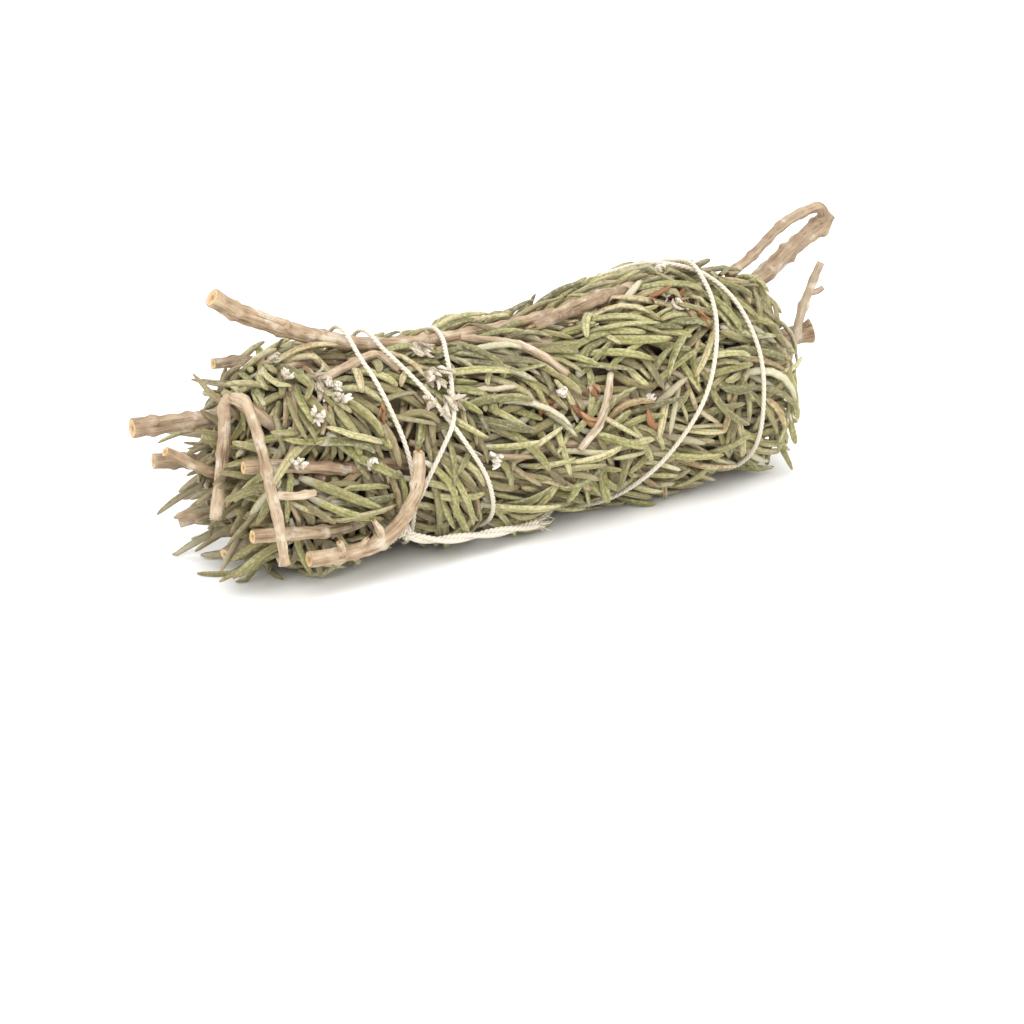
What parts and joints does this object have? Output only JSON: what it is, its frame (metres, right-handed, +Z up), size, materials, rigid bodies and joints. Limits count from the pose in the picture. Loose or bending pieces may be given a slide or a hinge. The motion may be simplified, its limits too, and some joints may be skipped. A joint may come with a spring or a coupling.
{
  "type": "dried rosemary bundle",
  "caption": "Dried rosemary sprigs tied into a dense bundle with criss-cross cotton string, woody cut stems at one end and leafy tips at the other, lying on its side",
  "frame": {"origin": "On the ground plane, under the middle of the bundle's bounding box", "axes": "+X along the bundle from the cut stems to the leafy tips, +Y towards the back, +Z up. It lies on its side."},
  "size_m": [0.1548, 0.044, 0.0534],
  "materials": {
    "dried_leaf": "matte",
    "shaded_leaf": "matte",
    "bark": "dry bark",
    "cotton": "twisted cotton"
  },
  "bodies": {
    "root": {"sprig_1_leaves": "dried_leaf", "sprig_2_leaves": "dried_leaf", "sprig_3_leaves": "dried_leaf", "sprig_4_leaves": "dried_leaf", "sprig_5_leaves": "dried_leaf", "sprig_6_leaves": "dried_leaf", "sprig_7_leaves": "dried_leaf", "sprig_8_leaves": "dried_leaf", "heart_leaves": "shaded_leaf", "sprig_1_stem": "bark", "sprig_2_stem": "bark", "sprig_3_stem": "bark", "sprig_4_stem": "bark", "sprig_5_stem": "bark", "sprig_6_stem": "bark", "sprig_7_stem": "bark", "sprig_8_stem": "bark", "heart_stem": "bark", "heart_stub": "bark", "top_twig": "bark", "hooked_twig": "bark", "tip_twig_forked": "bark", "tip_twig_upright": "bark", "ridge_twig": "bark", "drooping_twig": "bark", "string": "cotton"}
  },
  "joints": []
}
